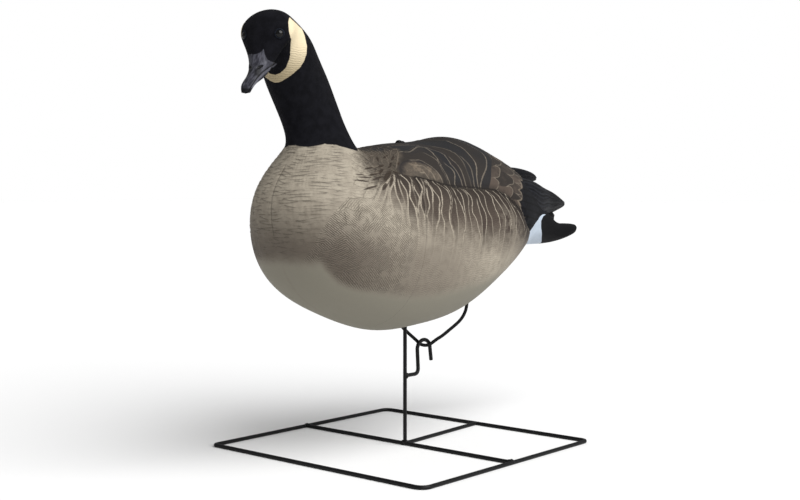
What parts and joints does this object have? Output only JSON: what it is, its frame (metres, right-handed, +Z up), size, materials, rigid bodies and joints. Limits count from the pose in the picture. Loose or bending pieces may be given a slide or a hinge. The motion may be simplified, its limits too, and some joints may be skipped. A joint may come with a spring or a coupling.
{
  "type": "goose_decoy_on_wire_stand",
  "caption": "Life-size moulded Canada goose decoy with its head turned to its left, on an upright rod over a rectangular wire ground ring, with a hook and cord under the belly.",
  "frame": {"origin": "on the ground under the upright rod, in the middle of the stand's ring", "axes": "+Z up, the goose faces -Y, its left side is +X"},
  "size_m": [0.3508, 0.6684, 0.5241],
  "materials": {
    "moulded_body": "moulded feather texture, matt paint in greys and tans, black flocking on head and neck",
    "eye": "glossy black",
    "cap": "satin black",
    "wire": "black powder coat",
    "cord": "satin black"
  },
  "bodies": {
    "root": {"goose_body": "moulded_body", "left_eye": "eye", "right_eye": "eye", "back_cap": "cap", "base_ring": "wire", "crossbar": "wire", "brace_bar": "wire", "upright_rod": "wire", "line_hook": "wire", "tether_cord": "cord"}
  },
  "joints": []
}
